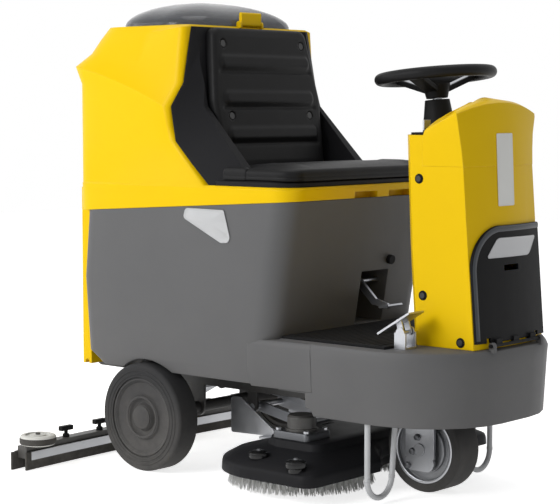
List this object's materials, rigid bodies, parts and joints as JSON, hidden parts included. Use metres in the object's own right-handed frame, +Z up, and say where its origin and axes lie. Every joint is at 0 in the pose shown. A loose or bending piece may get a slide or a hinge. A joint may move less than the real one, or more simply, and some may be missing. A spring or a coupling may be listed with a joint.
{
  "type": "ride on scrubber",
  "caption": "Ride-on floor scrubber: seat on a tilting recovery tank, steered front drive wheel, lifting disc brush deck and a swinging rear squeegee.",
  "frame": {"origin": "on the floor under the middle of the machine's length and width", "axes": "+X points forward, +Y to the driver's left, +Z up"},
  "size_m": [1.274, 1.0518, 1.2155],
  "materials": {
    "chassis_frame": "black paint",
    "rear_axle": "zinc plated",
    "head_plate": "black paint",
    "head_bearings": "zinc plated",
    "solution_tank": "moulded, fine grain",
    "batteries": "battery case",
    "vacuum_motor": "cast",
    "platform": "moulded, fine grain",
    "floor_mat": "rubber",
    "column_cover": "moulded, satin sheen",
    "dash_panel": "moulded, fine grain",
    "motor_controller": "cast",
    "anti_tip_bars": "silver paint",
    "pedal_bracket": "zinc plated",
    "column_screws": "black screws",
    "tank_hinge_pin": "zinc plated",
    "rubber_stop": "rubber",
    "recovery_tank": "moulded, satin sheen",
    "seat_shell": "moulded, fine grain",
    "seat_cushion": "foam with a smooth skin",
    "backrest_pad": "foam with a smooth skin",
    "backrest_bolts": "zinc plated",
    "lid_gasket": "rubber",
    "float_standpipe": "moulded, fine grain",
    "suction_inlet": "moulded, fine grain",
    "dome_lid": "smoked clear plastic",
    "lid_latch": "moulded, satin sheen",
    "front_hatch": "moulded, fine grain",
    "steering_rim": "foam with a smooth skin",
    "steering_spokes": "moulded, fine grain",
    "spoke_inserts": "zinc plated",
    "steering_stub": "zinc plated",
    "drive_fork": "zinc plated",
    "steering_shaft": "zinc plated",
    "drive_motor": "cast",
    "drive_tyre": "solid tyre",
    "drive_rim": "cast",
    "rear_tyre_left": "solid tyre",
    "rear_hub_left": "moulded",
    "rear_tyre_right": "solid tyre",
    "rear_hub_right": "moulded",
    "accelerator_pedal": "zinc plated",
    "lift_lever": "zinc plated",
    "lift_arms": "zinc plated",
    "level_link": "zinc plated",
    "brush_deck": "moulded, fine grain",
    "brush_motors": "cast",
    "brush_left": "moulded",
    "brush_right": "moulded",
    "squeegee_arm": "zinc plated",
    "squeegee_body": "powder coat",
    "squeegee_blades": "rubber",
    "blade_clamps": "zinc plated",
    "squeegee_knobs": "moulded, fine grain",
    "roller_left": "moulded",
    "roller_right": "moulded",
    "ignition_key": "zinc plated",
    "drive_selector": "moulded, fine grain",
    "horn_button": "moulded"
  },
  "bodies": {
    "chassis": {"chassis_frame": "chassis_frame", "rear_axle": "rear_axle", "head_plate": "head_plate", "head_bearings": "head_bearings", "solution_tank": "solution_tank", "batteries": "batteries", "vacuum_motor": "vacuum_motor", "platform": "platform", "floor_mat": "floor_mat", "column_cover": "column_cover", "dash_panel": "dash_panel", "motor_controller": "motor_controller", "anti_tip_bars": "anti_tip_bars", "pedal_bracket": "pedal_bracket", "column_screws": "column_screws", "tank_hinge_pin": "tank_hinge_pin", "rubber_stop": "rubber_stop"},
    "upper_tank": {"recovery_tank": "recovery_tank", "seat_shell": "seat_shell", "seat_cushion": "seat_cushion", "backrest_pad": "backrest_pad", "backrest_bolts": "backrest_bolts", "lid_gasket": "lid_gasket", "float_standpipe": "float_standpipe", "suction_inlet": "suction_inlet"},
    "lid": {"dome_lid": "dome_lid"},
    "latch": {"lid_latch": "lid_latch"},
    "hatch": {"front_hatch": "front_hatch"},
    "steering_wheel": {"steering_rim": "steering_rim", "steering_spokes": "steering_spokes", "spoke_inserts": "spoke_inserts", "steering_stub": "steering_stub"},
    "fork": {"drive_fork": "drive_fork", "steering_shaft": "steering_shaft", "drive_motor": "drive_motor"},
    "drive_wheel": {"drive_tyre": "drive_tyre", "drive_rim": "drive_rim"},
    "rear_wheel_left": {"rear_tyre_left": "rear_tyre_left", "rear_hub_left": "rear_hub_left"},
    "rear_wheel_right": {"rear_tyre_right": "rear_tyre_right", "rear_hub_right": "rear_hub_right"},
    "accelerator": {"accelerator_pedal": "accelerator_pedal"},
    "lever": {"lift_lever": "lift_lever"},
    "deck_arms": {"lift_arms": "lift_arms"},
    "deck_link": {"level_link": "level_link"},
    "deck": {"brush_deck": "brush_deck", "brush_motors": "brush_motors"},
    "left_brush": {"brush_left": "brush_left"},
    "right_brush": {"brush_right": "brush_right"},
    "squeegee_lift_arm": {"squeegee_arm": "squeegee_arm"},
    "squeegee": {"squeegee_body": "squeegee_body", "squeegee_blades": "squeegee_blades", "blade_clamps": "blade_clamps", "squeegee_knobs": "squeegee_knobs"},
    "left_roller": {"roller_left": "roller_left"},
    "right_roller": {"roller_right": "roller_right"},
    "key": {"ignition_key": "ignition_key"},
    "selector": {"drive_selector": "drive_selector"},
    "horn": {"horn_button": "horn_button"}
  },
  "joints": [
    {"name": "tank_tilt", "type": "hinge", "parent": "chassis", "child": "upper_tank", "pos_m": [-0.577, 0, 0.254], "axis": [0, -1, 0], "range_deg": [0, 50]},
    {"name": "lid_hinge", "type": "hinge", "parent": "upper_tank", "child": "lid", "pos_m": [-0.543, 0, 1.156], "axis": [0, -1, 0], "range_deg": [0, 75]},
    {"name": "latch_turn", "type": "hinge", "parent": "upper_tank", "child": "latch", "pos_m": [-0.211, 0, 1.154], "axis": [0, 1, 0], "range_deg": [0, 60]},
    {"name": "hatch_hinge", "type": "hinge", "parent": "chassis", "child": "hatch", "pos_m": [0.627, 0, 0.387], "axis": [0, 1, 0], "range_deg": [0, 70]},
    {"name": "steering_turn", "type": "hinge", "parent": "chassis", "child": "steering_wheel", "pos_m": [0.404, 0, 0.843], "axis": [-0.0958, 0, 0.9954], "range_deg": [-70, 70]},
    {"name": "fork_steer", "type": "hinge", "parent": "chassis", "child": "fork", "pos_m": [0.404, 0, 0.3], "axis": [0, 0, 1], "range_deg": [-70, 70]},
    {"name": "drive_spin", "type": "hinge", "parent": "fork", "child": "drive_wheel", "pos_m": [0.389, 0, 0.107], "axis": [0, 1, 0], "continuous": true},
    {"name": "rear_spin_left", "type": "hinge", "parent": "chassis", "child": "rear_wheel_left", "pos_m": [-0.311, 0.279, 0.14], "axis": [0, 1, 0], "continuous": true},
    {"name": "rear_spin_right", "type": "hinge", "parent": "chassis", "child": "rear_wheel_right", "pos_m": [-0.311, -0.279, 0.14], "axis": [0, 1, 0], "continuous": true},
    {"name": "accelerator_press", "type": "hinge", "parent": "chassis", "child": "accelerator", "pos_m": [0.457, -0.21, 0.416], "axis": [0, 1, 0], "range_deg": [0, 14], "stiffness_Nm_per_rad": 6},
    {"name": "lever_press", "type": "hinge", "parent": "chassis", "child": "lever", "pos_m": [0.104, 0.084, 0.492], "axis": [0, 1, 0], "range_deg": [0, 18], "stiffness_Nm_per_rad": 8},
    {"name": "deck_lift", "type": "hinge", "parent": "chassis", "child": "deck_arms", "pos_m": [-0.141, 0, 0.156], "axis": [0, -1, 0], "range_deg": [-4, 15]},
    {"name": "link_swing", "type": "hinge", "parent": "chassis", "child": "deck_link", "pos_m": [-0.141, 0, 0.192], "axis": [0, -1, 0], "range_deg": [-4, 15]},
    {"name": "deck_level", "type": "hinge", "parent": "deck_arms", "child": "deck", "pos_m": [0.019, 0, 0.126], "axis": [0, -1, 0], "range_deg": [-15, 4]},
    {"name": "left_brush_spin", "type": "hinge", "parent": "deck", "child": "left_brush", "pos_m": [0.119, 0.182, 0.05], "axis": [0, 0, 1], "continuous": true},
    {"name": "right_brush_spin", "type": "hinge", "parent": "deck", "child": "right_brush", "pos_m": [0.119, -0.182, 0.05], "axis": [0, 0, 1], "continuous": true},
    {"name": "squeegee_lift", "type": "hinge", "parent": "chassis", "child": "squeegee_lift_arm", "pos_m": [-0.377, 0, 0.178], "axis": [0, 1, 0], "range_deg": [0, 15]},
    {"name": "squeegee_swing", "type": "hinge", "parent": "squeegee_lift_arm", "child": "squeegee", "pos_m": [-0.519, 0, 0.07], "axis": [0, 0, 1], "range_deg": [-14, 14]},
    {"name": "left_roller_spin", "type": "hinge", "parent": "squeegee", "child": "left_roller", "pos_m": [-0.52399, 0.477, 0.08], "axis": [0, 0, 1], "continuous": true},
    {"name": "right_roller_spin", "type": "hinge", "parent": "squeegee", "child": "right_roller", "pos_m": [-0.52399, -0.477, 0.08], "axis": [0, 0, 1], "continuous": true},
    {"name": "key_turn", "type": "hinge", "parent": "chassis", "child": "key", "pos_m": [0.423, -0.084, 0.873], "axis": [0, 0, 1], "range_deg": [0, 90]},
    {"name": "selector_turn", "type": "hinge", "parent": "chassis", "child": "selector", "pos_m": [0.397, 0.084, 0.873], "axis": [0, 0, 1], "range_deg": [-40, 40]},
    {"name": "horn_press", "type": "slide", "parent": "chassis", "child": "horn", "axis": [0, 0, -1], "range_m": [0, 0.003], "stiffness_N_per_m": 400}
  ],
  "couplings": [
    {"joint": "steering_turn", "follows": "fork_steer", "ratio": 1},
    {"joint": "link_swing", "follows": "deck_lift", "ratio": 1},
    {"joint": "deck_level", "follows": "deck_lift", "ratio": -1}
  ]
}
